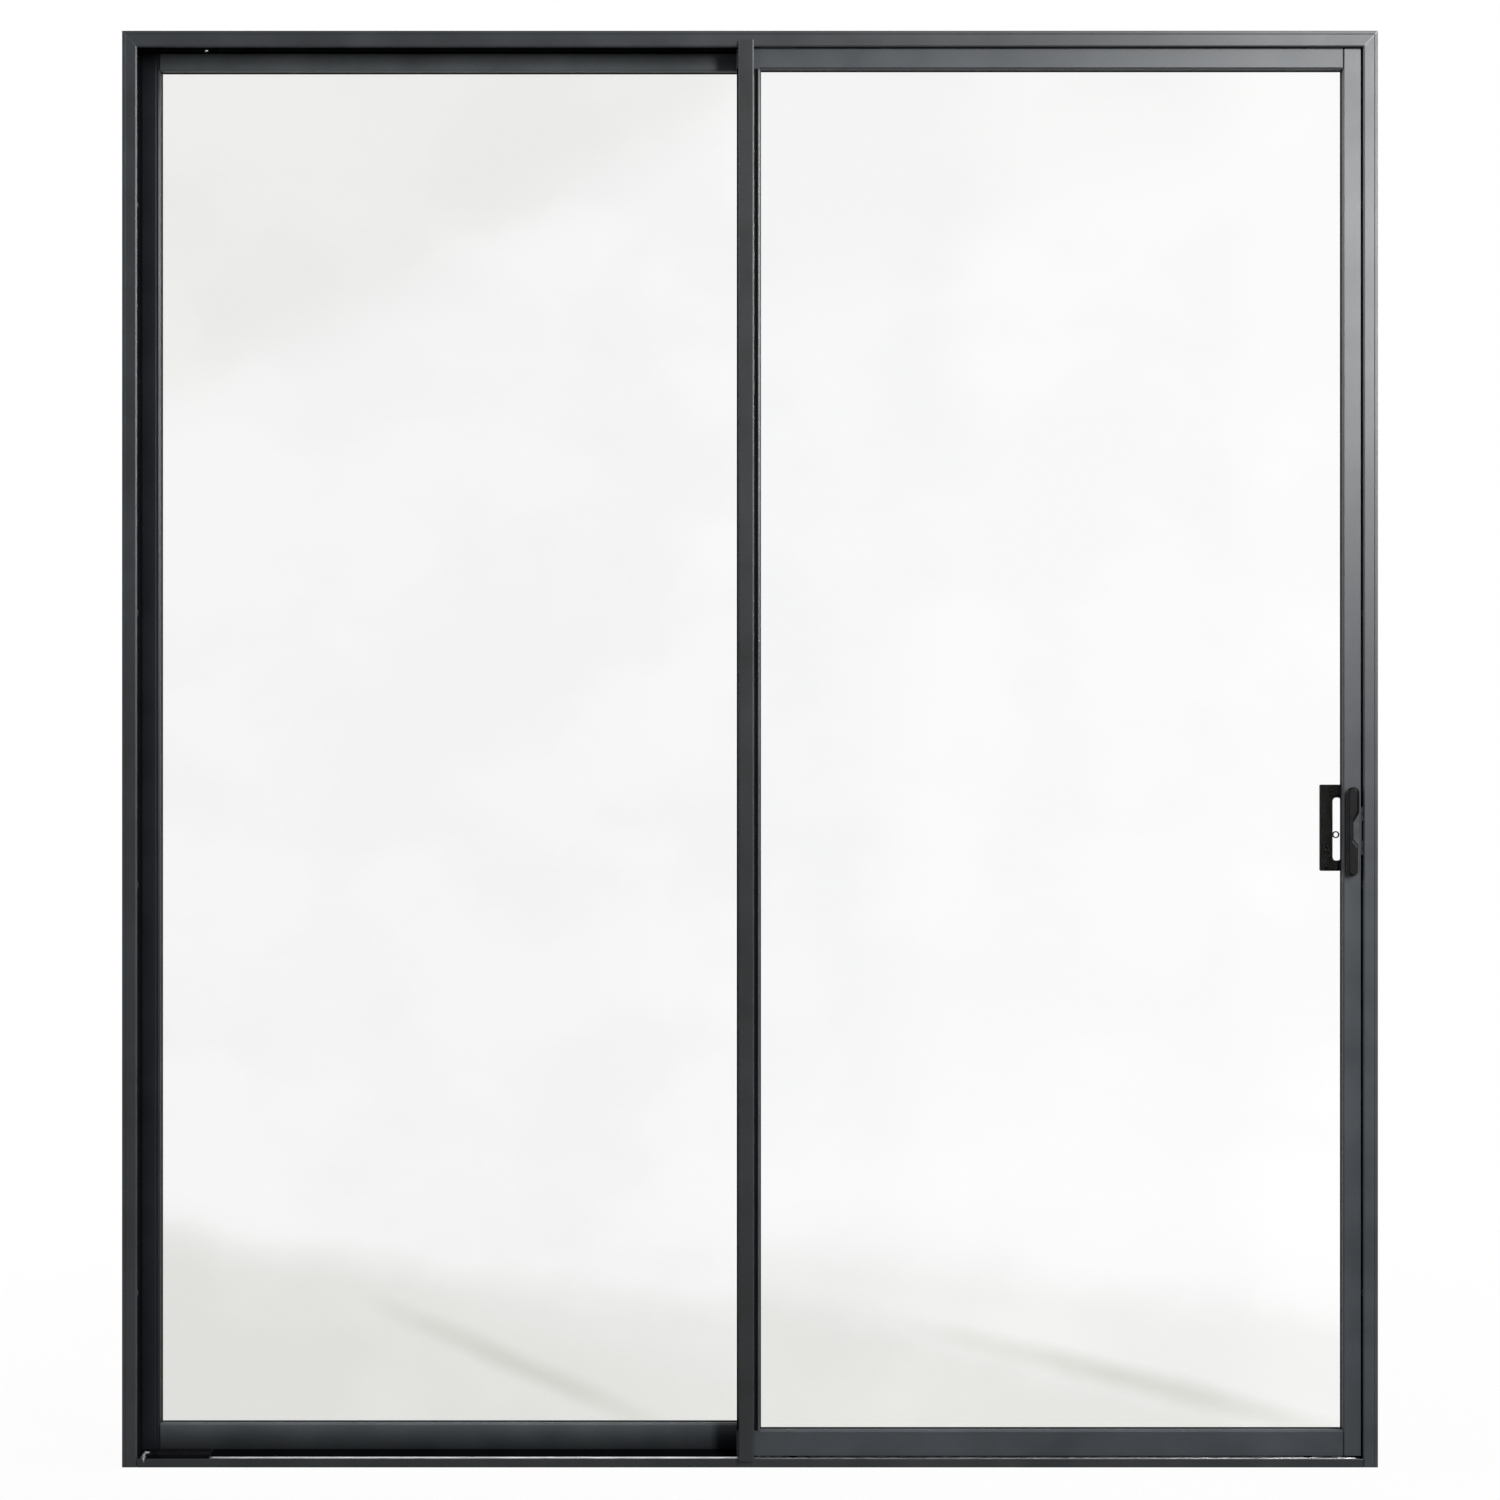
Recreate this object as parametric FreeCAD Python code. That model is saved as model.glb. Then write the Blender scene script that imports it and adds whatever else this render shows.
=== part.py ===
"""Two-panel aluminium sliding patio door: a fixed glazed panel on the left in the rear
channel, and a glazed panel that rolls to the left in the front channel.

Millimetres. X runs to the right, Y runs away from the room, Z is up. The origin is on the
flat underside of the sill, at the middle of the opening and of the frame's depth.
"""
import FreeCAD, Part
import math
import os

V = FreeCAD.Vector

# Frame: overall size and the section shared by the head and the jambs
frame_width = 1836.0
frame_height = 2100.0
frame_depth = 100.0
frame_wall = 2.0
jamb_face = 21.6
jamb_web_inset = 15.7
head_face = 23.7
head_web_inset = 18.6
mid_rib_height = 3.0
mid_rib_offset = 46.3
lip_thickness = 3.0
lip_bevel = 2.0
lip_round = 0.9
face_groove_inset = 5.0
face_groove_width = 1.2
face_groove_depth = 0.5
screw_port_outer = 8.0
screw_port_gap = 3.6
flat_between_rounds = 0.02

# Sill members
sill_lip_height = 12.4
sill_rear_lip_height = 17.0
sill_plate = 2.0
track_rib_height = 7.0
track_rib_thickness = 2.4
track_cap_height = 9.5
track_cap_width = 5.0
mid_rib_sill_height = 9.0
ledge_height = 11.4
ledge_front_gap = 2.0

# Panels: shared glazing section
panel_depth = 34.0
panel_setback = 8.0
panel_gap = 19.0
panel_wall = 1.6
panel_edge_round = 1.0
pocket_depth = 10.0
throat_width = 12.0
rail_foot = 4.0
glass_thickness = 6.0
glass_bite = 8.0
rear_lip_inset = 3.2
bead_bevel = 2.6
bead_groove_inset = 5.6
bead_groove_width = 2.4
bead_groove_depth = 0.9
gasket_stand = 1.2
gasket_grip = 3.0
gasket_gap = 0.2

# Sliding panel
lock_stile_width = 27.0
lock_stile_gap = 1.3
meeting_stile_left = -19.4
meeting_stile_width = 34.4
sliding_bottom = 15.0
sliding_top_gap = 0.5
sliding_bottom_rail = 37.5
sliding_top_rail = 30.0

# Fixed panel
fixed_left_stile_width = 27.2
fixed_meeting_left = -18.2
fixed_meeting_width = 33.2
fixed_bottom_rail = 38.0
fixed_top_rail = 25.7

# Interlock: hooks behind the meeting stiles and the cover on the sliding one
hook_wall = 1.6
hook_clearance = 5.2
hook_tip = 14.0
sliding_hook_x = -16.0
fixed_hook_x = 8.0
cover_left = -16.7
cover_width = 22.6
cover_plate = 2.8
cover_wall = 1.8
cover_round = 2.3
cover_face_clearance = 5.2
cover_end_clearance = 5.6
cover_over_head = 8.6
cover_foot = 11.0

# Rollers and top guides
wheel_radius = 12.0
wheel_width = 7.0
wheel_groove_mouth = 6.0
wheel_groove_floor = 3.2
wheel_groove_depth = 1.5
track_running_gap = 0.3
axle_radius = 2.5
axle_clearance = 0.1
carriage_length = 64.0
carriage_width = 18.0
carriage_height = 22.0
carriage_base_gap = 2.0
carriage_inset = 48.0
guide_length = 50.0
guide_gap = 1.2
guide_fit = 0.2

# Handle set and lock
handle_centre_z = 929.5
handle_height = 131.5
handle_width = 18.8
handle_plate = 3.0
handle_right_margin = 2.8
plate_bevel = 1.0
grip_height = 14.0
grip_shoulder = 1.4
grip_left_inset = 0.5
grip_upper_foot = 17.7
grip_lower_foot = 15.6
grip_upper_face = 11.4
grip_lower_face = 12.2
grip_waist_foot = 9.2
grip_waist_face = 5.6
grip_notch_top = 27.0
grip_waist_top = 13.0
grip_waist_bottom = -10.5
grip_notch_bottom = -20.0
grip_notch_spread = 2.5
grip_end_inset = 0.8
grip_end_lean = 1.2
grip_bend = 2.0
pull_height = 128.0
pull_centre_z = 933.2
pull_reach = 22.1
pull_blade_width = 40.0
pull_blade_thickness = 6.0
pull_stand_off = 20.0
pull_slot_height = 93.5
pull_slot_left = 18.5
pull_slot_width = 13.5
pull_leg_height = 13.0
pull_leg_width = 7.0
pull_foot_width = 13.0
pull_foot_thickness = 4.0
pull_corner_round = 2.0
eye_radius = 5.2
eye_hole_radius = 3.5
eye_thickness = 3.0
eye_seat = 0.9
eye_drop = 10.1
pull_slot_drop = 2.0
lock_plate_height = 150.0
lock_plate_width = 18.0
lock_beak_height = 16.0
lock_beak_reach = 0.6
lock_beak_width = 6.0
keeper_height = 70.0
keeper_width = 20.0
keeper_thickness = 1.5
keeper_slot_height = 30.0
keeper_slot_width = 9.0

# Stop at the open end of the front track
stop_length = 96.0
stop_end_gap = 15.3
stop_height = 16.5
stop_width = 30.0
stop_slant = 6.0
stop_rib_clearance = 0.3

# Wall fixings through the jamb webs
fixing_radius = 3.0
fixing_end_inset = 250.0
fixing_pair_spacing = 600.0

# Places worked out from the sizes above
half_width = frame_width / 2
front = -frame_depth / 2
rear = frame_depth / 2
jamb_lip_x = half_width - jamb_face
jamb_web_x = half_width - jamb_web_inset
head_lip_z = frame_height - head_face
head_web_z = frame_height - head_web_inset
sliding_front = front + panel_setback
sliding_rear = sliding_front + panel_depth
sliding_mid = sliding_front + panel_depth / 2
fixed_front = sliding_rear + panel_gap
fixed_rear = fixed_front + panel_depth
fixed_mid = fixed_front + panel_depth / 2
lock_stile_right = jamb_lip_x - lock_stile_gap
lock_stile_left = lock_stile_right - lock_stile_width
meeting_stile_right = meeting_stile_left + meeting_stile_width
sliding_top = head_lip_z - sliding_top_gap
fixed_left = -jamb_web_x
fixed_bottom = ledge_height
fixed_top = head_web_z
hook_top = sliding_top - hook_clearance
pull_bar_left = lock_stile_left - pull_reach
low_fixings = (fixing_end_inset, fixing_end_inset + fixing_pair_spacing)
high_fixings = tuple(frame_height - height for height in reversed(low_fixings))


def corner(before, point, after, radius):
    """The two ends and the middle of the arc that rounds one corner of an outline."""
    to_before = (before - point).normalize()
    to_after = (after - point).normalize()
    half_angle = to_before.getAngle(to_after) / 2
    reach = radius / math.tan(half_angle)
    centre_way = (to_before + to_after).normalize()
    middle = point + centre_way * (radius / math.sin(half_angle) - radius)
    return point + to_before * reach, middle, point + to_after * reach


def outline(points, place):
    """A closed wire through points (u, v) or (u, v, radius), rounded where a radius is given."""
    spots = [place(p[0], p[1]) for p in points]
    radii = [p[2] if len(p) > 2 else 0.0 for p in points]
    count = len(spots)
    stretches = []
    for i in range(count):
        if radii[i] > 0:
            stretches.append(corner(spots[i - 1], spots[i], spots[(i + 1) % count], radii[i]))
        else:
            stretches.append((spots[i],))
    edges = []
    for i in range(count):
        stretch = stretches[i]
        if len(stretch) == 3:
            edges.append(Part.Arc(*stretch).toShape())
        leave = stretch[-1]
        arrive = stretches[(i + 1) % count][0]
        if leave.distanceToPoint(arrive) > 1e-6:
            edges.append(Part.LineSegment(leave, arrive).toShape())
    return Part.Wire(edges)


def extrusion(outer, inner, place, along):
    """A bar whose section is the outer outline less the inner ones."""
    face = Part.Face(outline(outer, place))
    for hole in inner:
        face = face.cut(Part.Face(outline(hole, place)))
    return face.extrude(along)


def bar_x(outer, x_start, x_end, inner=()):
    """A bar along X from a section given as (y, z)."""
    return extrusion(outer, inner, lambda y, z: V(x_start, y, z), V(x_end - x_start, 0, 0))


def bar_y(outer, y_start, y_end, inner=()):
    """A bar along Y from a section given as (x, z)."""
    return extrusion(outer, inner, lambda x, z: V(x, y_start, z), V(0, y_end - y_start, 0))


def bar_z(outer, z_start, z_end, inner=()):
    """A bar along Z from a section given as (x, y)."""
    return extrusion(outer, inner, lambda x, y: V(x, y, z_start), V(0, 0, z_end - z_start))


def block(x_span, y_span, z_span):
    """A plain block between two values on each axis."""
    size = [span[1] - span[0] for span in (x_span, y_span, z_span)]
    return Part.makeBox(*size, V(x_span[0], y_span[0], z_span[0]))


def slot_outline(centre_x, centre_z, width, height, radius=None):
    """An upright rectangle with rounded corners, or with full round ends."""
    r = width / 2 - flat_between_rounds if radius is None else radius
    left = centre_x - width / 2
    right = centre_x + width / 2
    low = centre_z - height / 2
    high = centre_z + height / 2
    return [(left, low, r), (right, low, r), (right, high, r), (left, high, r)]


# Outer frame

def frame_section(face, web_inset):
    """Section of a head or jamb as (w, y), with w measured inwards from the outer face.

    A web with a lipped flange at the front and the rear, a low rib between the channels,
    a fine groove on the front face, a bevel on the front lip, and two screw ports on the
    wall side.
    """
    web_back = web_inset - frame_wall
    groove_low = face_groove_inset - face_groove_width / 2
    groove_high = face_groove_inset + face_groove_width / 2
    rib_front = front + mid_rib_offset
    port_tip = web_back - screw_port_outer
    ports = []
    for port_y in (rib_front - screw_port_gap, rib_front + frame_wall + screw_port_gap):
        ports += [(web_back, port_y - frame_wall / 2), (port_tip, port_y - frame_wall / 2),
                  (port_tip, port_y + frame_wall / 2), (web_back, port_y + frame_wall / 2)]
    return [
        (0, front, lip_round),
        (groove_low, front),
        (face_groove_inset, front + face_groove_depth),
        (groove_high, front),
        (face - lip_bevel, front, lip_round),
        (face, front + lip_bevel, lip_round),
        (face, front + lip_thickness),
        (web_inset, front + lip_thickness),
        (web_inset, rib_front),
        (web_inset + mid_rib_height, rib_front),
        (web_inset + mid_rib_height, rib_front + frame_wall),
        (web_inset, rib_front + frame_wall),
        (web_inset, rear - frame_wall),
        (face, rear - frame_wall, lip_round),
        (face, rear, lip_round),
        (0, rear, lip_round),
        (0, rear - frame_wall),
        (web_back, rear - frame_wall),
        *reversed(ports),
        (web_back, front + frame_wall),
        (0, front + frame_wall),
    ]


def mitre_reach(steps):
    """A point on the mitre line of the top right corner, some lip widths in from it."""
    return half_width - steps * jamb_face, frame_height - steps * head_face


def head():
    """The head, mitred at both ends; its front lip and mid rib guide the sliding panel."""
    section = [(y, frame_height - w, *r) for w, y, *r in frame_section(head_face, head_web_inset)]
    bar = bar_x(section, -half_width, half_width)
    x, z = mitre_reach(2)
    keep = bar_y([(-half_width, frame_height), (half_width, frame_height), (x, z), (-x, z)],
                 front, rear)
    return bar.common(keep)


def jamb(side):
    """A jamb that runs to the floor and meets the head in a mitre, with wall fixing holes."""
    section = [(side * (half_width - w), y, *r)
               for w, y, *r in frame_section(jamb_face, jamb_web_inset)]
    bar = bar_z(section, 0, frame_height)
    x, z = mitre_reach(2)
    keep = bar_y([(side * half_width, 0), (side * half_width, frame_height),
                  (side * x, z), (side * x, 0)], front, rear)
    bar = bar.common(keep)
    for height in low_fixings + high_fixings:
        hole = Part.makeCylinder(fixing_radius, 3 * frame_wall,
                                 V(side * (jamb_web_x - frame_wall), sliding_mid, height),
                                 V(side, 0, 0))
        bar = bar.cut(hole)
    return bar


def sill():
    """The sill: front lip, track rib, mid rib, a hollow ledge for the fixed panel, rear lip."""
    rib_front = front + mid_rib_offset
    ledge_front = fixed_front - ledge_front_gap
    half_rib = track_rib_thickness / 2
    outer = [
        (front, 0),
        (front, sill_lip_height, lip_round),
        (front + frame_wall, sill_lip_height, lip_round),
        (front + frame_wall, sill_plate),
        (sliding_mid - half_rib, sill_plate),
        (sliding_mid - half_rib, track_rib_height),
        (sliding_mid + half_rib, track_rib_height),
        (sliding_mid + half_rib, sill_plate),
        (rib_front, sill_plate),
        (rib_front, mid_rib_sill_height),
        (rib_front + frame_wall, mid_rib_sill_height),
        (rib_front + frame_wall, sill_plate),
        (ledge_front, sill_plate),
        (ledge_front, ledge_height),
        (rear - frame_wall, ledge_height),
        (rear - frame_wall, sill_rear_lip_height, lip_round),
        (rear, sill_rear_lip_height, lip_round),
        (rear, 0),
    ]
    hollow = [
        (ledge_front + frame_wall, sill_plate),
        (ledge_front + frame_wall, ledge_height - frame_wall),
        (rear - frame_wall, ledge_height - frame_wall),
        (rear - frame_wall, sill_plate),
    ]
    bar = bar_x(outer, -jamb_web_x, jamb_web_x, [hollow])
    for side in (-1, 1):
        lip_x = sorted((side * jamb_lip_x, side * half_width))
        rib_x = sorted((side * (jamb_web_x - mid_rib_height), side * half_width))
        for cope_x, cope_y in ((lip_x, (front, front + lip_thickness)),
                               (lip_x, (rear - frame_wall, rear)),
                               (rib_x, (rib_front, rib_front + frame_wall))):
            bar = bar.cut(block(cope_x, cope_y, (0, frame_height)))
    return bar


def roller_track():
    """The bright wear cap with a round top, clipped over the sill's track rib."""
    half_cap = track_cap_width / 2
    half_rib = track_rib_thickness / 2
    cap_foot = track_rib_height - track_rib_thickness
    top_round = half_cap - flat_between_rounds
    section = [
        (sliding_mid - half_cap, cap_foot),
        (sliding_mid - half_cap, track_cap_height, top_round),
        (sliding_mid + half_cap, track_cap_height, top_round),
        (sliding_mid + half_cap, cap_foot),
        (sliding_mid + half_rib, cap_foot),
        (sliding_mid + half_rib, track_rib_height),
        (sliding_mid - half_rib, track_rib_height),
        (sliding_mid - half_rib, cap_foot),
    ]
    return bar_x(section, -jamb_lip_x, jamb_lip_x)


def open_stop():
    """The buffer at the open end of the front track, with a slanted nose and a rib slot."""
    left = -jamb_web_x + stop_end_gap
    right = left + stop_length
    low = sill_plate
    body = bar_y([(left, low), (right - stop_slant, low), (right, stop_height, 1.0),
                  (left, stop_height, 2.0)],
                 sliding_mid - stop_width / 2, sliding_mid + stop_width / 2)
    slot_half = track_cap_width / 2 + stop_rib_clearance
    slot = block((left, right), (sliding_mid - slot_half, sliding_mid + slot_half),
                 (low, track_cap_height + stop_rib_clearance))
    return body.cut(slot)


def keeper():
    """The slotted strike plate on the closing jamb."""
    face_x = jamb_web_x - keeper_thickness
    plate = block((face_x, jamb_web_x),
                  (sliding_mid - keeper_width / 2, sliding_mid + keeper_width / 2),
                  (handle_centre_z - keeper_height / 2, handle_centre_z + keeper_height / 2))
    slot = block((face_x, jamb_web_x),
                 (sliding_mid - keeper_slot_width / 2, sliding_mid + keeper_slot_width / 2),
                 (handle_centre_z - keeper_slot_height / 2,
                  handle_centre_z + keeper_slot_height / 2))
    return plate.cut(slot)


# Panel sections

def glazing_section(width, open_back):
    """Section of a panel member as (w, v): w outwards from the glass side, v from the front.

    A glazing pocket with inturned lips faces the glass. Its front lip is bevelled towards
    the pane, and its rear lip is the lower one. The back is a closed chamber on a stile, or
    a channel with inturned feet on a rail, where rollers or guides go.
    """
    throat_front = (panel_depth - throat_width) / 2
    throat_rear = panel_depth - throat_front
    inner = panel_depth - panel_wall
    back = pocket_depth + panel_wall
    bevel_inside = bead_bevel + panel_wall * (math.sqrt(2) - 1)
    pocket = [
        (rear_lip_inset, panel_depth, panel_edge_round),
        (rear_lip_inset, throat_rear),
        (rear_lip_inset + panel_wall, throat_rear),
        (rear_lip_inset + panel_wall, inner),
        (pocket_depth, inner),
        (pocket_depth, panel_wall),
        (bevel_inside, panel_wall),
        (panel_wall, bevel_inside),
        (panel_wall, throat_front),
        (0, throat_front),
        (0, bead_bevel),
        (bead_bevel, 0),
    ]
    if not open_back:
        chamber = [(back, panel_wall), (width - panel_wall, panel_wall),
                   (width - panel_wall, inner), (back, inner)]
        outer = [(width, 0, panel_edge_round), (width, panel_depth, panel_edge_round)]
        return pocket + outer, [chamber]
    channel = [
        (width, 0),
        (width, rail_foot),
        (width - panel_wall, rail_foot),
        (width - panel_wall, panel_wall),
        (back, panel_wall),
        (back, inner),
        (width - panel_wall, inner),
        (width - panel_wall, panel_depth - rail_foot),
        (width, panel_depth - rail_foot),
        (width, panel_depth),
    ]
    return pocket + channel, []


def stile(glass_edge, outwards, width, panel_front, z_start, z_end):
    """An upright member with its pocket at glass_edge and its back towards outwards."""
    outer, inner = glazing_section(width, open_back=False)

    def turn(points):
        return [(glass_edge + outwards * w, panel_front + v, *r) for w, v, *r in points]

    return bar_z(turn(outer), z_start, z_end, [turn(hole) for hole in inner])


def bead_groove(glass_edge, outwards, panel_front):
    """The groove that sets the glazing bead off on the front of a stile."""
    middle = glass_edge + outwards * bead_groove_inset
    half = bead_groove_width / 2
    return bar_z([(middle - half, panel_front), (middle, panel_front + bead_groove_depth),
                  (middle + half, panel_front)], 0, frame_height)


def rail(glass_edge, outwards, width, panel_front, x_start, x_end):
    """A level member between two stiles."""
    outer, inner = glazing_section(width, open_back=True)
    section = [(panel_front + v, glass_edge + outwards * w, *r) for w, v, *r in outer]
    return bar_x(section, x_start, x_end)


def glass_pane(x_span, z_span, mid):
    """A pane that reaches into the pockets on all four sides."""
    return block((x_span[0] - glass_bite, x_span[1] + glass_bite),
                 (mid - glass_thickness / 2, mid + glass_thickness / 2),
                 (z_span[0] - glass_bite, z_span[1] + glass_bite))


def gasket(x_span, z_span, mid, side):
    """A loop of glazing rubber between one face of the pane and the lips round it."""
    glass_face = mid + side * glass_thickness / 2
    lip_edge = mid + side * (throat_width / 2 - gasket_gap)
    inset = rear_lip_inset if side > 0 else 0.0
    y_span = sorted((glass_face, lip_edge))

    def loop(step):
        return [(x_span[0] + step, z_span[0] + step), (x_span[1] - step, z_span[0] + step),
                (x_span[1] - step, z_span[1] - step), (x_span[0] + step, z_span[1] - step)]

    return bar_y(loop(-gasket_grip - inset), y_span[0], y_span[1],
                 [loop(gasket_stand - inset)])


# Sliding panel

def lock_plate_block():
    """The lock's edge plate, which fills a cut-out in the back wall of the closing stile."""
    half_width_y = lock_plate_width / 2
    half_height = lock_plate_height / 2
    return block((lock_stile_right - panel_wall, lock_stile_right),
                 (sliding_mid - half_width_y, sliding_mid + half_width_y),
                 (handle_centre_z - half_height, handle_centre_z + half_height))


def lock_stile():
    """The closing stile that carries the handle and the lock."""
    bar = stile(lock_stile_left, 1, lock_stile_width, sliding_front, sliding_bottom, sliding_top)
    return bar.cut(lock_plate_block())


def meeting_stile():
    """The sliding panel's meeting stile, with the hook that turns towards the closed side.

    Its glazing bead runs from rail to rail only, so that the front of both ends is plain.
    """
    bar = stile(meeting_stile_right, -1, meeting_stile_width, sliding_front,
                sliding_bottom, sliding_top)
    bar = bar.cut(bead_groove(meeting_stile_right, -1, sliding_front))
    bead_width = bead_groove_inset + bead_groove_width / 2
    plain_ends = [block((meeting_stile_right - bead_width, meeting_stile_right),
                        (sliding_front, sliding_front + bead_bevel), span)
                  for span in ((sliding_bottom, sliding_bottom + sliding_bottom_rail),
                               (sliding_top - sliding_top_rail, sliding_top))]
    bar = bar.fuse(plain_ends)
    leg_end = fixed_front - hook_clearance - (panel_gap - 3 * hook_clearance - 2 * hook_wall)
    x = sliding_hook_x
    hook = bar_z([(x, sliding_rear - panel_wall), (x, leg_end), (x + hook_tip, leg_end),
                  (x + hook_tip, leg_end - hook_wall), (x + hook_wall, leg_end - hook_wall),
                  (x + hook_wall, sliding_rear - panel_wall)],
                 ledge_height + hook_clearance, hook_top)
    return bar.fuse(hook).removeSplitter()


def sliding_top_member():
    """The sliding panel's top rail, open upwards for the guides."""
    return rail(sliding_top - sliding_top_rail, 1, sliding_top_rail, sliding_front,
                meeting_stile_right, lock_stile_left)


def sliding_bottom_member():
    """The sliding panel's bottom rail, open downwards over the rollers."""
    return rail(sliding_bottom + sliding_bottom_rail, -1, sliding_bottom_rail, sliding_front,
                meeting_stile_right, lock_stile_left)


sliding_sight_x = (meeting_stile_right, lock_stile_left)
sliding_sight_z = (sliding_bottom + sliding_bottom_rail, sliding_top - sliding_top_rail)


def interlock_cover():
    """The cover on the meeting stile: a hollow box between the lips of the head and sill,
    whose front plate runs on past them, clear of the frame's face."""
    plate_back = front - cover_face_clearance
    plate_front = plate_back - cover_plate
    right = cover_left + cover_width
    plate = bar_z([(cover_left, plate_back), (cover_left, plate_front, cover_round),
                   (right, plate_front, cover_round), (right, plate_back)],
                  cover_foot, head_lip_z + cover_over_head)
    box = bar_z([(cover_left, sliding_front), (cover_left, plate_back), (right, plate_back),
                 (right, sliding_front)],
                sill_lip_height + cover_end_clearance, head_lip_z - cover_end_clearance,
                [[(cover_left + cover_wall, sliding_front), (cover_left + cover_wall, plate_back),
                  (right - cover_wall, plate_back), (right - cover_wall, sliding_front)]])
    return plate.fuse(box).removeSplitter()


def wheel_centre(side):
    """Axle centre of the left (-1) or right (+1) roller."""
    edge = meeting_stile_right if side < 0 else lock_stile_left
    return V(edge - side * carriage_inset, sliding_mid,
             track_cap_height + track_running_gap - wheel_groove_depth + wheel_radius)


def roller(side):
    """A grooved wheel that straddles the track cap, turned from its half section."""
    centre = wheel_centre(side)
    half = wheel_width / 2
    bore = axle_radius + axle_clearance
    floor = wheel_radius - wheel_groove_depth
    section = [
        (-half, bore),
        (-half, wheel_radius),
        (-wheel_groove_mouth / 2, wheel_radius),
        (-wheel_groove_floor / 2, floor),
        (wheel_groove_floor / 2, floor),
        (wheel_groove_mouth / 2, wheel_radius),
        (half, wheel_radius),
        (half, bore),
    ]
    face = Part.Face(outline(section, lambda y, z: V(0, y, z)))
    wheel = face.revolve(V(0, 0, 0), V(0, 1, 0), 360)
    wheel.translate(centre)
    return wheel


def roller_carriage(side):
    """The forked block in the bottom rail that holds a wheel on its axle."""
    centre = wheel_centre(side)
    pocket_floor = sliding_sight_z[0] - pocket_depth - panel_wall
    top = pocket_floor
    low = top - carriage_height
    body = block((centre.x - carriage_length / 2, centre.x + carriage_length / 2),
                 (centre.y - carriage_width / 2, centre.y + carriage_width / 2), (low, top))
    slot_half = wheel_width / 2 + carriage_base_gap
    reach = wheel_radius + carriage_base_gap
    wheel_slot = block((centre.x - reach, centre.x + reach),
                       (centre.y - slot_half, centre.y + slot_half),
                       (low, centre.z + reach))
    axle = Part.makeCylinder(axle_radius, carriage_width,
                             V(centre.x, centre.y - carriage_width / 2, centre.z), V(0, 1, 0))
    return body.cut(wheel_slot).fuse(axle).removeSplitter()


def top_guide(side):
    """The nylon guide in the top rail: its head runs between the head's front lip and rib."""
    edge = meeting_stile_right if side < 0 else lock_stile_left
    channel_floor = sliding_sight_z[1] + pocket_depth + panel_wall
    body_half = panel_depth / 2 - panel_wall - guide_fit
    neck_half = panel_depth / 2 - rail_foot - guide_fit
    body_top = sliding_top - panel_wall
    head_top = head_web_z - guide_gap
    head_front = front + lip_thickness + guide_gap
    head_rear = front + mid_rib_offset - guide_gap
    section = [
        (sliding_mid - body_half, channel_floor),
        (sliding_mid - body_half, body_top),
        (sliding_mid - neck_half, body_top),
        (sliding_mid - neck_half, sliding_top),
        (head_front, sliding_top),
        (head_front, head_top),
        (head_rear, head_top),
        (head_rear, sliding_top),
        (sliding_mid + neck_half, sliding_top),
        (sliding_mid + neck_half, body_top),
        (sliding_mid + body_half, body_top),
        (sliding_mid + body_half, channel_floor),
    ]
    return bar_x(section, *sorted((edge, edge - side * guide_length)))


# Handle set

handle_right = lock_stile_right - handle_right_margin
handle_x = handle_right - handle_width / 2


def handle_back_plate():
    """The obround plate under the inner pull."""
    plate = bar_y(slot_outline(handle_x, handle_centre_z, handle_width, handle_height),
                  sliding_front - handle_plate, sliding_front)
    face_edges = [e for e in plate.Edges
                  if max(abs(v.Y - (sliding_front - handle_plate)) for v in e.Vertexes) < 1e-6]
    return plate.makeChamfer(plate_bevel, face_edges)


def grip_level(y, left, widths, spread, lean):
    """The grip's outline at one depth. widths are those of the upper pad, the lower pad and
    the waist; spread widens the notch, and lean draws the two ends in."""
    upper, lower, waist = (left + width for width in widths)
    high = handle_centre_z + handle_height / 2 - grip_end_inset - lean
    low = handle_centre_z - handle_height / 2 + grip_end_inset + lean
    lower_round = (lower - left) / 2 - flat_between_rounds
    upper_round = (upper - left) / 2 - flat_between_rounds
    return outline([
        (left, low, lower_round),
        (lower, low, lower_round),
        (lower, handle_centre_z + grip_notch_bottom - spread, grip_bend),
        (waist, handle_centre_z + grip_waist_bottom - spread, grip_bend),
        (waist, handle_centre_z + grip_waist_top + spread, grip_bend),
        (upper, handle_centre_z + grip_notch_top + spread, grip_bend),
        (upper, high, upper_round),
        (left, high, upper_round),
    ], lambda x, z: V(x, y, z))


def inner_pull():
    """The moulded grip: two pads on a spine, with a finger notch cut in from the right.

    Its right flank slopes from the wide foot to the narrower face, which has a bevelled rim.
    """
    left = handle_right - handle_width + grip_left_inset
    back = sliding_front - handle_plate
    face_y = back - grip_height
    foot = (grip_upper_foot, grip_lower_foot, grip_waist_foot)
    face = (grip_upper_face, grip_lower_face, grip_waist_face)
    rim = [width - 2 * grip_shoulder for width in face]
    levels = [
        grip_level(back, left, foot, 0, 0),
        grip_level(face_y + grip_shoulder, left, face, grip_notch_spread, grip_end_lean),
        grip_level(face_y, left + grip_shoulder, rim, grip_notch_spread + grip_shoulder,
                   grip_end_lean + grip_shoulder),
    ]
    return Part.makeLoft(levels, True, True)


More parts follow.
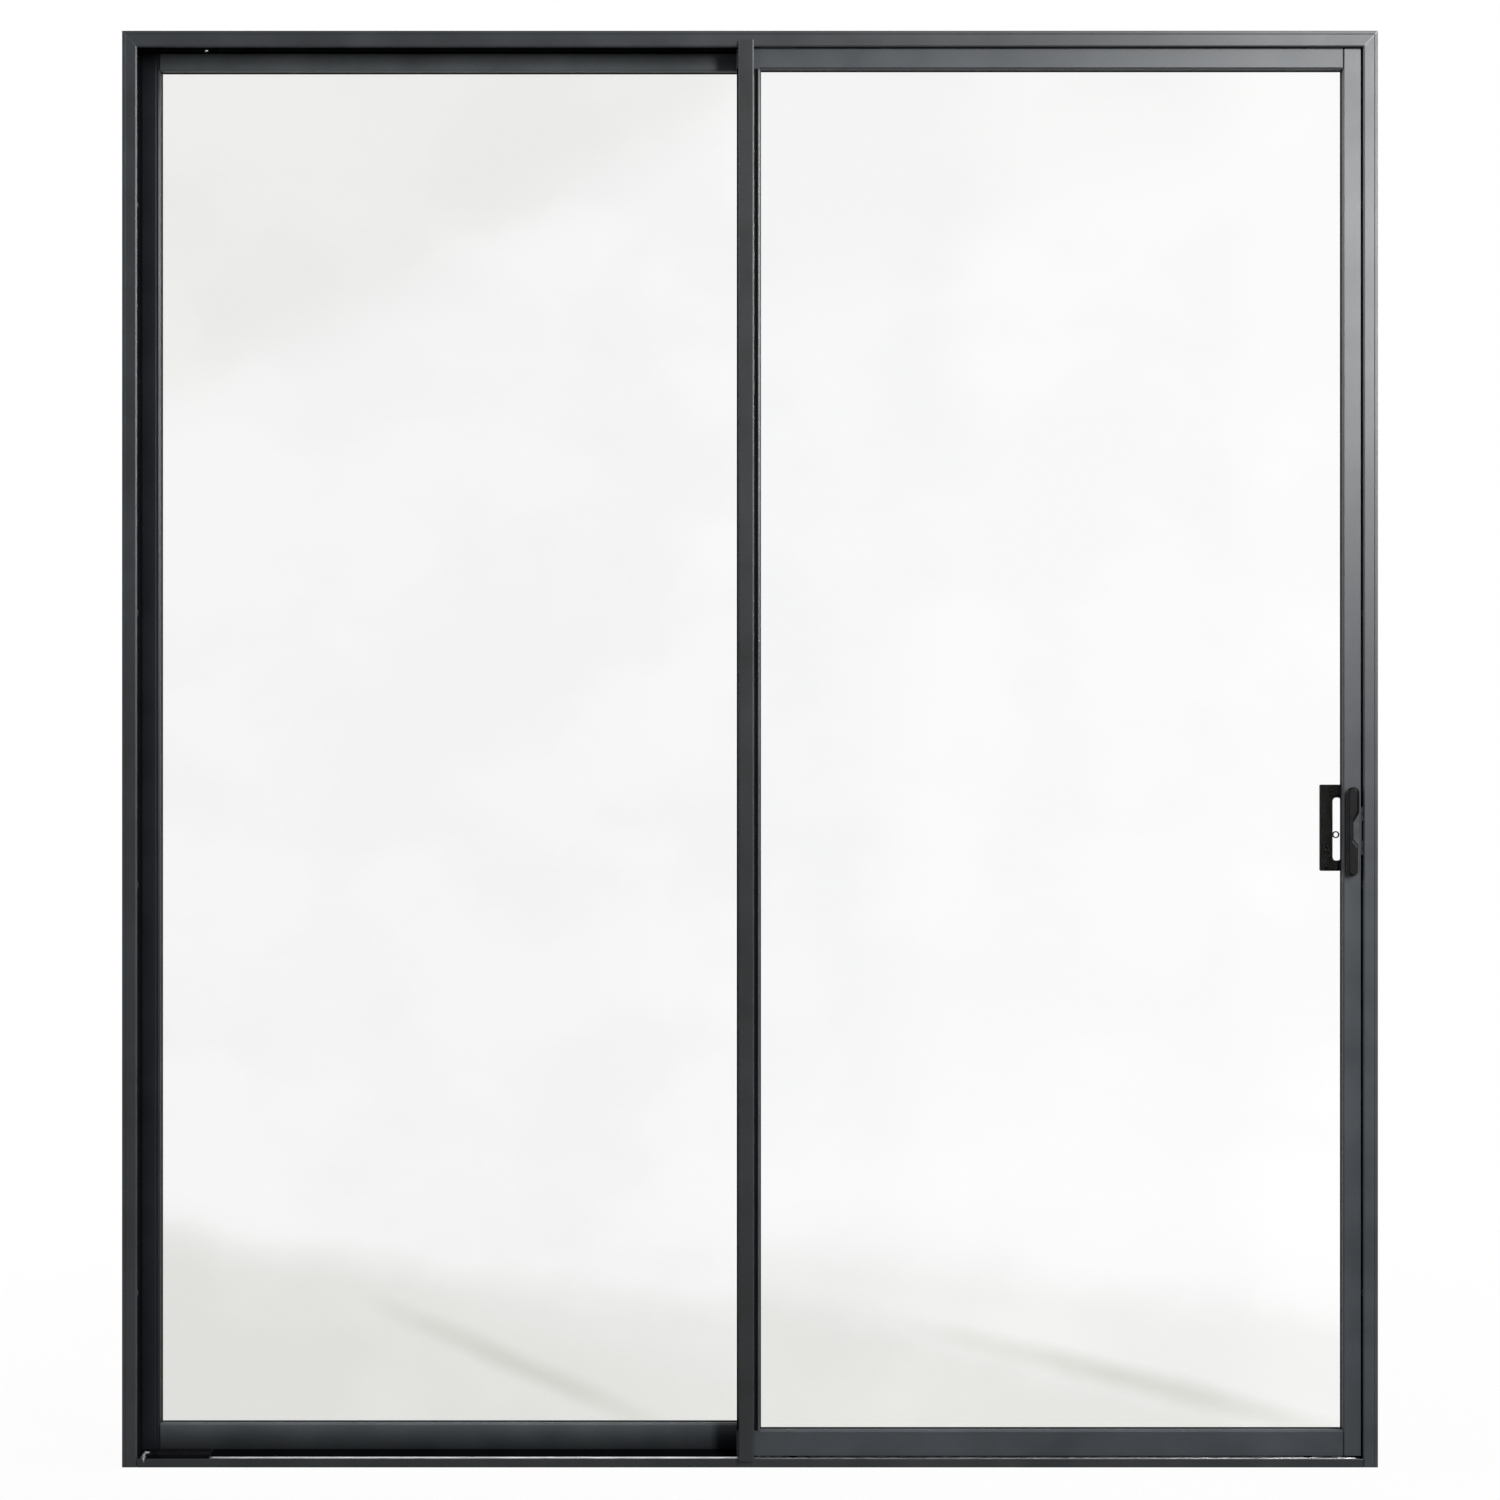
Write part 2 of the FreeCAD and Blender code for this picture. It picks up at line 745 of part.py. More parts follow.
def outer_pull():
    """The cranked blade behind the panel: a bar with a finger slot, on two legs and a foot."""
    low = pull_centre_z - pull_height / 2
    high = pull_centre_z + pull_height / 2
    blade_front = sliding_rear + pull_stand_off
    blade_rear = blade_front + pull_blade_thickness
    right = pull_bar_left + pull_blade_width
    blade = bar_y(slot_outline((pull_bar_left + right) / 2, pull_centre_z, pull_blade_width,
                               pull_height, pull_corner_round), blade_front, blade_rear)
    slot_x = pull_bar_left + pull_slot_left + pull_slot_width / 2
    blade = blade.cut(bar_y(slot_outline(slot_x, pull_centre_z - pull_slot_drop, pull_slot_width,
                                         pull_slot_height, pull_slot_width * 0.4),
                            blade_front, blade_rear))
    foot = block((right - pull_foot_width, right),
                 (sliding_rear, sliding_rear + pull_foot_thickness), (low, high))
    legs = [block((right - pull_leg_width, right), (sliding_rear, blade_front), span)
            for span in ((low, low + pull_leg_height), (high - pull_leg_height, high))]
    return blade.fuse([foot, *legs]).removeSplitter()


def lock_eye():
    """The small ring that stands on the slot's edge of the outer pull."""
    centre = V(pull_bar_left + pull_slot_left + eye_radius - eye_seat,
               sliding_rear + pull_stand_off, pull_centre_z - eye_drop)
    ring = Part.makeCylinder(eye_radius, eye_thickness, centre, V(0, -1, 0))
    return ring.cut(Part.makeCylinder(eye_hole_radius, eye_thickness, centre, V(0, -1, 0)))


def lock_faceplate():
    """The lock's edge plate with the nose of the beak that meets the keeper."""
    beak = block((lock_stile_right, lock_stile_right + lock_beak_reach),
                 (sliding_mid - lock_beak_width / 2, sliding_mid + lock_beak_width / 2),
                 (handle_centre_z - lock_beak_height / 2, handle_centre_z + lock_beak_height / 2))
    return lock_plate_block().fuse(beak).removeSplitter()


# Fixed panel

fixed_sight_x = (fixed_left + fixed_left_stile_width, fixed_meeting_left)
fixed_sight_z = (fixed_bottom + fixed_bottom_rail, fixed_top - fixed_top_rail)


def fixed_left_stile():
    """The stile against the left jamb."""
    bar = stile(fixed_sight_x[0], -1, fixed_left_stile_width, fixed_front,
                fixed_bottom, fixed_top)
    return bar.cut(bead_groove(fixed_sight_x[0], -1, fixed_front))


def fixed_meeting_stile():
    """The fixed meeting stile, with the hook that turns towards the open side."""
    bar = stile(fixed_meeting_left, 1, fixed_meeting_width, fixed_front,
                fixed_bottom, fixed_top)
    tip_front = sliding_rear + hook_clearance
    x = fixed_hook_x
    hook = bar_z([(x, fixed_front + panel_wall), (x, tip_front), (x - hook_tip, tip_front),
                  (x - hook_tip, tip_front + hook_wall), (x - hook_wall, tip_front + hook_wall),
                  (x - hook_wall, fixed_front + panel_wall)],
                 fixed_bottom, hook_top)
    return bar.fuse(hook).removeSplitter()


def fixed_top_member():
    """The fixed panel's top rail under the head."""
    return rail(fixed_sight_z[1], 1, fixed_top_rail, fixed_front, *fixed_sight_x)


def fixed_bottom_member():
    """The fixed panel's bottom rail on the sill's ledge."""
    return rail(fixed_sight_z[0], -1, fixed_bottom_rail, fixed_front, *fixed_sight_x)


PIECES = {
    "head": head,
    "sill": sill,
    "jamb_left": lambda: jamb(-1),
    "jamb_right": lambda: jamb(1),
    "roller_track": roller_track,
    "open_stop": open_stop,
    "keeper": keeper,
    "fixed_left_stile": fixed_left_stile,
    "fixed_meeting_stile": fixed_meeting_stile,
    "fixed_top_rail": fixed_top_member,
    "fixed_bottom_rail": fixed_bottom_member,
    "fixed_glass": lambda: glass_pane(fixed_sight_x, fixed_sight_z, fixed_mid),
    "fixed_gasket_front": lambda: gasket(fixed_sight_x, fixed_sight_z, fixed_mid, -1),
    "fixed_gasket_rear": lambda: gasket(fixed_sight_x, fixed_sight_z, fixed_mid, 1),
    "lock_stile": lock_stile,
    "meeting_stile": meeting_stile,
    "sliding_top_rail": sliding_top_member,
    "sliding_bottom_rail": sliding_bottom_member,
    "sliding_glass": lambda: glass_pane(sliding_sight_x, sliding_sight_z, sliding_mid),
    "sliding_gasket_front": lambda: gasket(sliding_sight_x, sliding_sight_z, sliding_mid, -1),
    "sliding_gasket_rear": lambda: gasket(sliding_sight_x, sliding_sight_z, sliding_mid, 1),
    "interlock_cover": interlock_cover,
    "roller_left": lambda: roller(-1),
    "roller_right": lambda: roller(1),
    "roller_carriage_left": lambda: roller_carriage(-1),
    "roller_carriage_right": lambda: roller_carriage(1),
    "top_guide_left": lambda: top_guide(-1),
    "top_guide_right": lambda: top_guide(1),
    "handle_plate": handle_back_plate,
    "inner_pull": inner_pull,
    "outer_pull": outer_pull,
    "lock_eye": lock_eye,
    "lock_faceplate": lock_faceplate,
}

os.makedirs("parts", exist_ok=True)
for node, make in PIECES.items():
    shape = make()
    shape.exportStep(os.path.join("parts", node + ".step"))
    print(f"{node}: {shape.ShapeType}, {len(shape.Solids)} solid(s), {shape.Volume / 1000:.1f} cm3,"
          f" valid {shape.isValid()}")
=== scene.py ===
import bmesh
import bpy
import numpy as np
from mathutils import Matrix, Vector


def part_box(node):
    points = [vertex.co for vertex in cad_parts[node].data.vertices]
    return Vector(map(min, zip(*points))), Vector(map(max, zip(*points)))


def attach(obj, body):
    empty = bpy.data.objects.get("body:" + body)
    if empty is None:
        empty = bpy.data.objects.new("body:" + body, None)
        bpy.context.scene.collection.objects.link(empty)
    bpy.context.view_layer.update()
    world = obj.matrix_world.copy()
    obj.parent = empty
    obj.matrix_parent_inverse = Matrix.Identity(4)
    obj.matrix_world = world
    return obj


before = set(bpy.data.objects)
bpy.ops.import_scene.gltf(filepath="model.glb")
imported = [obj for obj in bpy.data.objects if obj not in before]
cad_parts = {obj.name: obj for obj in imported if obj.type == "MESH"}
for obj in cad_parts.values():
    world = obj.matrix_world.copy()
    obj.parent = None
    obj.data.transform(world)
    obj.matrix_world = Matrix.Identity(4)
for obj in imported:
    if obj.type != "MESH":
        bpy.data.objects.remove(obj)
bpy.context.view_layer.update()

# The room round the door set: a camera square to it, at half its height, a white floor and
# backdrop, a tall soft lamp high on the right that brightens the top right corner, a lamp far
# out on each side for a light line along the bevels, one overhead and one behind.
camera_distance = 4.0
view_width = 2.19225
eye_height = 1.0486
sensor_width = 36.0
front_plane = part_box("jamb_left")[0][1]
camera = bpy.data.objects.new("camera", bpy.data.cameras.new("camera"))
camera.data.sensor_width = sensor_width
camera.data.lens = sensor_width * camera_distance / view_width
camera.location = (0, front_plane - camera_distance, eye_height)
camera.rotation_euler = (np.pi / 2, 0, 0)
bpy.context.scene.collection.objects.link(camera)
bpy.context.scene.camera = camera


def soft_lamp(name, place, aim, size, power):
    """A rectangular lamp at place that faces the point aim, size[0] wide and size[1] tall."""
    lamp = bpy.data.lights.new(name, "AREA")
    lamp.shape = "RECTANGLE"
    lamp.size, lamp.size_y = size
    lamp.energy = power
    holder = bpy.data.objects.new(name, lamp)
    holder.location = place
    way = np.subtract(place, aim)
    turn = np.arctan2(way[0], -way[1])
    tilt = np.arctan2(np.hypot(way[0], way[1]), way[2])
    holder.rotation_euler = (tilt, 0, turn)
    bpy.context.scene.collection.objects.link(holder)


soft_lamp("lamp_high_right", (2.16, -4.1, 2.85), (0.3, 0, 1.5), (0.72, 2.4), 436)
soft_lamp("lamp_far_right", (3.7, -0.75, 2.7), (0, 0, 1.7), (1.3, 2.2), 250)
soft_lamp("lamp_far_left", (-3.5, -0.40, 2.9), (0, 0, 1.7), (0.5, 1.8), 115)
soft_lamp("lamp_overhead", (0.2, -1.1, 4.4), (0.2, -0.3, 0), (3.4, 0.4), 26)
soft_lamp("lamp_rear", (3.0, 3.4, 3.0), (0, 0, 1.1), (1.2, 2.0), 90)

world = bpy.data.worlds.new("studio")
bpy.context.scene.world = world
world.use_nodes = True
nodes, links = world.node_tree.nodes, world.node_tree.links
pale_strength = 0.235
pale = nodes["Background"]
pale.inputs["Color"].default_value = (0.96, 0.98, 1.0, 1)
pale.inputs["Strength"].default_value = pale_strength
white = nodes.new("ShaderNodeBackground")
white.inputs["Color"].default_value = (1, 1, 1, 1)


def seen_directly(nodes, links):
    """1 for rays from the eye, through glass or off gloss, and 0 for rays that light things."""
    path = nodes.new("ShaderNodeLightPath")
    seen = path.outputs["Is Camera Ray"]
    for kind in ("Is Transmission Ray", "Is Glossy Ray"):
        either = nodes.new("ShaderNodeMath")
        either.operation = "MAXIMUM"
        links.new(seen, either.inputs[0])
        links.new(path.outputs[kind], either.inputs[1])
        seen = either.outputs[0]
    return seen


blend = nodes.new("ShaderNodeMixShader")
links.new(seen_directly(nodes, links), blend.inputs[0])
links.new(pale.outputs[0], blend.inputs[1])
links.new(white.outputs[0], blend.inputs[2])
links.new(blend.outputs[0], nodes["World Output"].inputs["Surface"])

floor_reach = 14.0
floor_grey = 0.24
shadow_reach = (0.5, 2.6)
shadow_share = 0.04
floor = bpy.data.meshes.new("floor")
floor.from_pydata([(-floor_reach, -floor_reach, 0), (floor_reach, -floor_reach, 0),
                   (floor_reach, floor_reach, 0), (-floor_reach, floor_reach, 0)],
                  [], [(0, 1, 2, 3)])
ground = bpy.data.objects.new("floor", floor)
bpy.context.scene.collection.objects.link(ground)
paper = bpy.data.materials.new("white_floor")
paper.use_nodes = True
nodes, links = paper.node_tree.nodes, paper.node_tree.links
matt = nodes["Principled BSDF"]
matt.inputs["Base Color"].default_value = (floor_grey, floor_grey, floor_grey, 1)
matt.inputs["Roughness"].default_value = 1.0
matt.inputs["Specular IOR Level"].default_value = 0.0
glow = nodes.new("ShaderNodeEmission")
blend = nodes.new("ShaderNodeMixShader")
near = nodes.new("ShaderNodeVectorMath")
near.operation = "LENGTH"
links.new(nodes.new("ShaderNodeTexCoord").outputs["Object"], near.inputs[0])
fade = nodes.new("ShaderNodeMapRange")
fade.interpolation_type = "SMOOTHSTEP"
fade.inputs["From Min"].default_value = shadow_reach[0]
fade.inputs["From Max"].default_value = shadow_reach[1]
fade.inputs["To Min"].default_value = 1.0 - shadow_share
fade.inputs["To Max"].default_value = 1.0
links.new(near.outputs["Value"], fade.inputs["Value"])
share = nodes.new("ShaderNodeMath")
share.operation = "MULTIPLY"
links.new(fade.outputs["Result"], share.inputs[1])
links.new(seen_directly(nodes, links), share.inputs[0])
links.new(share.outputs[0], blend.inputs[0])
links.new(matt.outputs[0], blend.inputs[1])
links.new(glow.outputs[0], blend.inputs[2])
links.new(blend.outputs[0], nodes["Material Output"].inputs["Surface"])
floor.materials.append(paper)


# The outer frame: a head and two jambs from one family of extruded aluminium bars, mitred at
# the top corners, and a sill between the jambs. All wear a charcoal satin powder coat with a
# fine orange peel; the mitre shows as a hairline where the coat of the two bars ends. The right
# jamb wears a lighter copy of the coat for painted light and the sill a darker copy for painted
# shade, and painted shade darkens the insides of the channels.
def clothe(nodes_named, material):
    """Puts one material on all the faces of the named CAD nodes."""
    for node in nodes_named:
        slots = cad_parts[node].data.materials
        slots.clear()
        slots.append(material)


def fresh(name):
    """A new material with its nodes, its links and its Principled shader."""
    material = bpy.data.materials.new(name)
    material.use_nodes = True
    tree = material.node_tree
    return material, tree.nodes, tree.links, tree.nodes["Principled BSDF"]


def grain(nodes, links, size, detail=2.0, stretch=(1, 1, 1)):
    """Noise whose grains are about size metres across, in the piece's own place."""
    place = nodes.new("ShaderNodeTexCoord")
    spread = nodes.new("ShaderNodeMapping")
    spread.inputs["Scale"].default_value = [s / size for s in stretch]
    noise = nodes.new("ShaderNodeTexNoise")
    noise.inputs["Scale"].default_value = 1.0
    noise.inputs["Detail"].default_value = detail
    links.new(place.outputs["Object"], spread.inputs["Vector"])
    links.new(spread.outputs[0], noise.inputs["Vector"])
    return noise.outputs["Fac"]


def sum_of(nodes, links, first, second, share=1.0):
    """first plus share times second, each a socket or a number."""
    total = nodes.new("ShaderNodeMath")
    total.operation = "MULTIPLY_ADD"
    total.inputs[1].default_value = share
    for value, socket in ((second, total.inputs[0]), (first, total.inputs[2])):
        if isinstance(value, (int, float)):
            socket.default_value = value
        else:
            links.new(value, socket)
    return total.outputs[0]


def ramp(nodes, links, source, low, high, start=0.3, end=0.7, soft=False):
    """Carries source from the value or colour low, at start, to high, at end. Colours go
    through the node's vector sockets, which are numbers 6 to 10."""
    change = nodes.new("ShaderNodeMapRange")
    change.interpolation_type = "SMOOTHSTEP" if soft else "LINEAR"
    if isinstance(low, tuple):
        change.data_type = "FLOAT_VECTOR"
        change.inputs[7].default_value = (start,) * 3
        change.inputs[8].default_value = (end,) * 3
        change.inputs[9].default_value = low
        change.inputs[10].default_value = high
        links.new(source, change.inputs[6])
        return change.outputs[1]
    change.inputs["From Min"].default_value = start
    change.inputs["From Max"].default_value = end
    change.inputs["To Min"].default_value = low
    change.inputs["To Max"].default_value = high
    links.new(source, change.inputs["Value"])
    return change.outputs["Result"]


def relief(nodes, links, height, depth, under=None):
    """A bump of the given depth in metres from a height between 0 and 1."""
    bump = nodes.new("ShaderNodeBump")
    bump.inputs["Distance"].default_value = depth
    links.new(height, bump.inputs["Height"])
    if under is not None:
        links.new(under, bump.inputs["Normal"])
    return bump.outputs["Normal"]


frame_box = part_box("head")
frame_half_width = frame_box[1][0]
frame_top = frame_box[1][2]
jamb_face_width = 0.0216
head_face_height = 0.0237
seam_half_width = 0.0007
lip_front_wall = 0.0025
channel_front = front_plane + lip_front_wall
jamb_web = 0.9023
jamb_web_back = 0.9043


def mitre_seam(nodes, links):
    """1 on the hairline where |distance to the side / jamb face - distance to the top / head
    face| is under the seam's width, and 0 elsewhere."""
    place = nodes.new("ShaderNodeSeparateXYZ")
    links.new(nodes.new("ShaderNodeTexCoord").outputs["Object"], place.inputs[0])
    side = nodes.new("ShaderNodeMath")
    side.operation = "ABSOLUTE"
    links.new(place.outputs["X"], side.inputs[0])
    across = sum_of(nodes, links, frame_half_width / jamb_face_width, side.outputs[0],
                    -1 / jamb_face_width)
    down = sum_of(nodes, links, frame_top / head_face_height, place.outputs["Z"],
                  -1 / head_face_height)
    apart = nodes.new("ShaderNodeMath")
    apart.operation = "ABSOLUTE"
    links.new(sum_of(nodes, links, across, down, -1.0), apart.inputs[0])
    return ramp(nodes, links, apart.outputs[0], 1.0, 0.0, 0.0,
                2 * seam_half_width / jamb_face_width)


def painted_shade_share(nodes, links, painted_shade_bounds, least):
    """The share of colour kept under painted shade: least inside channels and recesses, where
    shade is painted, and 1 on the open sides. Each open side is an axis, or |X for the distance
    from the middle, the place where the painted shade ends and the place where the colour is
    full."""
    place = nodes.new("ShaderNodeSeparateXYZ")
    links.new(nodes.new("ShaderNodeTexCoord").outputs["Object"], place.inputs[0])
    total = None
    for axis, begins, full in painted_shade_bounds:
        level = place.outputs[axis[-1]]
        if axis[0] == "|":
            size = nodes.new("ShaderNodeMath")
            size.operation = "ABSOLUTE"
            links.new(level, size.inputs[0])
            level = size.outputs[0]
        side = ramp(nodes, links, level, least, 1.0, begins, full)
        if total is not None:
            most = nodes.new("ShaderNodeMath")
            most.operation = "MAXIMUM"
            links.new(total, most.inputs[0])
            links.new(side, most.inputs[1])
            side = most.outputs[0]
        total = side
    return total


def powder_coat(name, dark, light, painted_shade_bounds=(), least=0.2, seam=False, gloss=(0.33, 0.40)):
    """Charcoal satin coat: colour between dark and light by a soft cloud and a fine grain,
    gloss by the cloud, and relief from an orange peel and a finer grain. Where open sides
    are given, painted shade darkens the rest of the bar, inside its channels, to the share
    least of its colour and lowers its specular level there."""
    material, nodes, links, coat = fresh(name)
    cloud_size, peel_size, grain_size = 0.09, 0.0024, 0.0007
    peel_depth, grain_depth = 0.00002, 0.00001
    cloud = grain(nodes, links, cloud_size, 3.0)
    fine = grain(nodes, links, grain_size, 1.0)
    tone = sum_of(nodes, links, cloud, fine, 0.35)
    sheen = 0.2
    coat.inputs["Specular IOR Level"].default_value = sheen
    if seam:
        bare = mitre_seam(nodes, links)
        tone = sum_of(nodes, links, tone, bare, 0.9)
        sheen = sum_of(nodes, links, sheen, bare, 0.2)
    colour = ramp(nodes, links, tone, dark, light, 0.45, 0.9)
    if painted_shade_bounds:
        # Painted shade: away from the open sides the colour is scaled down and the specular
        # level lowered.
        cover = painted_shade_share(nodes, links, painted_shade_bounds, least)
        painted_shade_colour = nodes.new("ShaderNodeVectorMath")
        painted_shade_colour.operation = "SCALE"
        links.new(colour, painted_shade_colour.inputs[0])
        links.new(cover, painted_shade_colour.inputs["Scale"])
        colour = painted_shade_colour.outputs[0]
        sheen = sum_of(nodes, links, ramp(nodes, links, cover, -0.5, 0.0, 0.0, 1.0), sheen)
        links.new(sheen, coat.inputs["Specular IOR Level"])
    links.new(colour, coat.inputs["Base Color"])
    links.new(ramp(nodes, links, cloud, *gloss), coat.inputs["Roughness"])
    peel = relief(nodes, links, grain(nodes, links, peel_size, 1.0), peel_depth)
    links.new(relief(nodes, links, fine, grain_depth, under=peel), coat.inputs["Normal"])
    return material


bar_coat = (0.0105, 0.0120, 0.0135), (0.0165, 0.0185, 0.0205)
blend_width = 0.001
narrow_blend = 0.0008
rear_plane = frame_box[1][1]
channel_rear = rear_plane - 0.0035
head_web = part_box("fixed_top_rail")[1][2]
head_web_back = head_web + 0.0020
rear_lip = ("Y", channel_rear, channel_rear + blend_width)
# Where the painted shade inside the frame's channels ends: at the front lip, the rear lip, the
# jamb webs and the head web.
frame_painted_shade_bounds = (("Y", channel_front + blend_width, channel_front), rear_lip,
               ("|X", jamb_web_back - narrow_blend, jamb_web_back),
               ("Z", head_web_back - narrow_blend, head_web_back))
clothe(("head", "jamb_left"), powder_coat("charcoal_frame_painted_shade_coat", *bar_coat,
                                          painted_shade_bounds=frame_painted_shade_bounds, seam=True))
# A lighter copy of the frame coat for painted light on the right jamb, with painted shade in its
# channel.
clothe(("jamb_right",), powder_coat("charcoal_right_jamb_painted_light_coat", (0.0143, 0.0163, 0.0184),
                                    (0.0224, 0.0252, 0.0279),
                                    painted_shade_bounds=frame_painted_shade_bounds, seam=True, gloss=(0.31, 0.375)))
sill_shade = channel_front + 0.003
# A darker copy of the frame coat for painted shade on the sill, with painted shade behind its
# front lip.
clothe(("sill",), powder_coat("charcoal_sill_painted_shade_coat", (0.0074, 0.0087, 0.0097),
                              (0.0120, 0.0133, 0.0147),
                              painted_shade_bounds=(("Y", sill_shade + blend_width, sill_shade),
                                          rear_lip)))


# The fixings: pan head screws with a cross recess. Eight blackened ones hold the jambs to the
# opening, two zinc-plated ones on each side hold the sill, and one shows under the head.
def grid_piece(name, points, body, material, around=False, along=False, caps=False):
    """A piece from a grid of points [i, j]. around closes j on itself, along closes i, and
    caps puts a flat face on the first and the last ring."""
    rows, columns = points.shape[:2]
    i = np.arange(rows if along else rows - 1)
    j = np.arange(columns if around else columns - 1)
    i, j = np.meshgrid(i, j, indexing="ij")
    k, m = (i + 1) % rows, (j + 1) % columns
    faces = np.stack([i * columns + j, i * columns + m, k * columns + m, k * columns + j], -1)
    faces = faces.reshape(-1, 4).tolist()
    if caps:
        faces += [list(range(columns)), list(range((rows - 1) * columns, rows * columns))]
    mesh = bpy.data.meshes.new(name)
    mesh.from_pydata(points.reshape(-1, 3).tolist(), [], faces)
    shell = bmesh.new()
    shell.from_mesh(mesh)
    bmesh.ops.recalc_face_normals(shell, faces=shell.faces)
    shell.to_mesh(mesh)
    shell.free()
    mesh.polygons.foreach_set("use_smooth", np.ones(len(mesh.polygons), bool))
    mesh.materials.append(material)
    piece = bpy.data.objects.new(name, mesh)
    bpy.context.scene.collection.objects.link(piece)
    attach(piece, body)
    return piece


def screw_head(name, seat, way, radius, body, material, countersunk=False):
    """A screw head turned about the direction way from its seat. Its rim rises steeply to a
    shallow dome, or lies flush if countersunk, and the cross recess is a dip that follows the
    nearer of two crossed arms. Rings of the grid run from the rim to a flat middle."""
    height = 0.12 * radius if countersunk else 0.5 * radius
    turns, rings = 40, 15
    angle = np.linspace(0, 2 * np.pi, turns, endpoint=False)
    share = np.linspace(1, 0.06, rings)
    rise = height * np.sqrt(np.clip(1 - share ** 4, 0, 1)) * (0.75 + 0.25 * (1 - share ** 2))
    spread, around = np.meshgrid(share * radius, angle, indexing="ij")
    u, v = spread * np.cos(around), spread * np.sin(around)
    arm_length, arm_width = 0.62 * radius, 0.17 * radius
    thin = np.minimum(np.abs(u), np.abs(v))
    long = np.maximum(np.abs(u), np.abs(v))
    dip = (np.clip((arm_width - thin) / (0.4 * arm_width), 0, 1)
           * np.clip((arm_length - long) / (0.2 * arm_length), 0, 1))
    w = rise[:, None] - dip * min(0.75 * height, 0.45 * radius)
    if countersunk:
        w = rise[:, None] - dip * 0.3 * radius
    sunk = np.full(turns, -0.3 * radius)
    u = np.vstack([u[0], u])
    v = np.vstack([v[0], v])
    w = np.vstack([sunk, w])
    way = np.array(way, float)
    aside = np.cross(way, (0.3, 0.5, 0.8))
    aside /= np.linalg.norm(aside)
    other = np.cross(way, aside)
    points = (np.array(seat) + u[..., None] * aside + v[..., None] * other
              + w[..., None] * way)
    return grid_piece(name, points, body, material, around=True, caps=True)


def zinc_plate():
    """Bright zinc: a metal whose tone and gloss drift in small clouds."""
    material, nodes, links, zinc = fresh("zinc_plate")
    zinc.inputs["Metallic"].default_value = 1.0
    cloud = grain(nodes, links, 0.003, 3.0)
    links.new(ramp(nodes, links, cloud, (0.50, 0.51, 0.52), (0.72, 0.73, 0.72)),
              zinc.inputs["Base Color"])
    links.new(ramp(nodes, links, cloud, 0.18, 0.34), zinc.inputs["Roughness"])
    links.new(relief(nodes, links, grain(nodes, links, 0.0006), 0.00002), zinc.inputs["Normal"])
    return material


def black_screw():
    """Phosphated and oiled steel: nearly black, with a dull sheen in small clouds."""
    material, nodes, links, steel = fresh("black_screw")
    steel.inputs["Specular IOR Level"].default_value = 0.1
    cloud = grain(nodes, links, 0.003, 3.0)
    links.new(ramp(nodes, links, cloud, (0.004, 0.004, 0.0045), (0.012, 0.012, 0.013)),
              steel.inputs["Base Color"])
    links.new(ramp(nodes, links, cloud, 0.35, 0.55), steel.inputs["Roughness"])
    links.new(relief(nodes, links, grain(nodes, links, 0.0006), 0.00002), steel.inputs["Normal"])
    return material


zinc = zinc_plate()
phosphated = black_screw()
channel_middle = sum(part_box("roller_track")[i][1] for i in (0, 1)) / 2
wall_screw_heights = (0.25, 0.85, 1.25, 1.85)
wall_screw_radius = 0.0052
sill_screw_depths = (0.021, 0.037)
sill_screw_height = 0.0065
sill_screw_radius = 0.0042
for side, word in ((-1, "left"), (1, "right")):
    for number, height in enumerate(wall_screw_heights, 1):
        screw_head(f"wall_screw_{word}_{number}", (side * jamb_web, channel_middle, height),
                   (-side, 0, 0), wall_screw_radius, "frame", phosphated)
    for number, depth in enumerate(sill_screw_depths, 1):
        screw_head(f"sill_screw_{word}_{number}",
                   (side * jamb_web_back, depth, sill_screw_height), (side, 0, 0),
                   sill_screw_radius, "frame", zinc)
head_screw_x, head_screw_y, head_screw_radius = -0.8027, -0.0078, 0.0031
screw_head("head_screw", (head_screw_x, head_screw_y, head_web), (0, 0, -1), head_screw_radius,
           "frame", zinc)


# The track's wear cap, the keeper and the lock's edge plate: drawn stainless strip, brushed
# along its length. The cap is bright, with duller stretches where the wheels have run. The two
# plates are blackened as the screws are, and two countersunk screws hold each.
def drawn_steel(name, stretch, tone):
    """Brushed steel: a fine grain stretched along one axis, with broader dull patches. The
    tone is 1 for bright steel and less for a dull one."""
    material, nodes, links, steel = fresh(name)
    steel.inputs["Metallic"].default_value = 1.0
    lines = grain(nodes, links, 0.0004, 2.0, stretch)
    dull = grain(nodes, links, 0.05, 3.0)
    links.new(ramp(nodes, links, dull, (0.50 * tone, 0.51 * tone, 0.52 * tone),
                   (0.72 * tone, 0.73 * tone, 0.73 * tone)), steel.inputs["Base Color"])
    links.new(ramp(nodes, links, lines, 0.22, 0.38), steel.inputs["Roughness"])
    links.new(relief(nodes, links, lines, 0.00002), steel.inputs["Normal"])
    return material


clothe(("roller_track",), drawn_steel("drawn_track_steel", (0.02, 1.0, 1.0), 0.7))
clothe(("keeper", "lock_faceplate"), phosphated)
keeper_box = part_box("keeper")
keeper_middle = (keeper_box[0][2] + keeper_box[1][2]) / 2
plate_screw_radius = 0.0038
keeper_screw_step, lock_screw_step = 0.025, 0.065
stile_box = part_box("lock_stile")
for number, side in enumerate((-1, 1), 1):
    screw_head(f"keeper_screw_{number}",
               (keeper_box[0][0], channel_middle, keeper_middle + side * keeper_screw_step),
               (-1, 0, 0), plate_screw_radius, "frame", phosphated,
               countersunk=True)
    screw_head(f"lock_screw_{number}",
               (stile_box[1][0], channel_middle, keeper_middle + side * lock_screw_step),
               (1, 0, 0), plate_screw_radius, "sliding_panel", phosphated,
               countersunk=True)


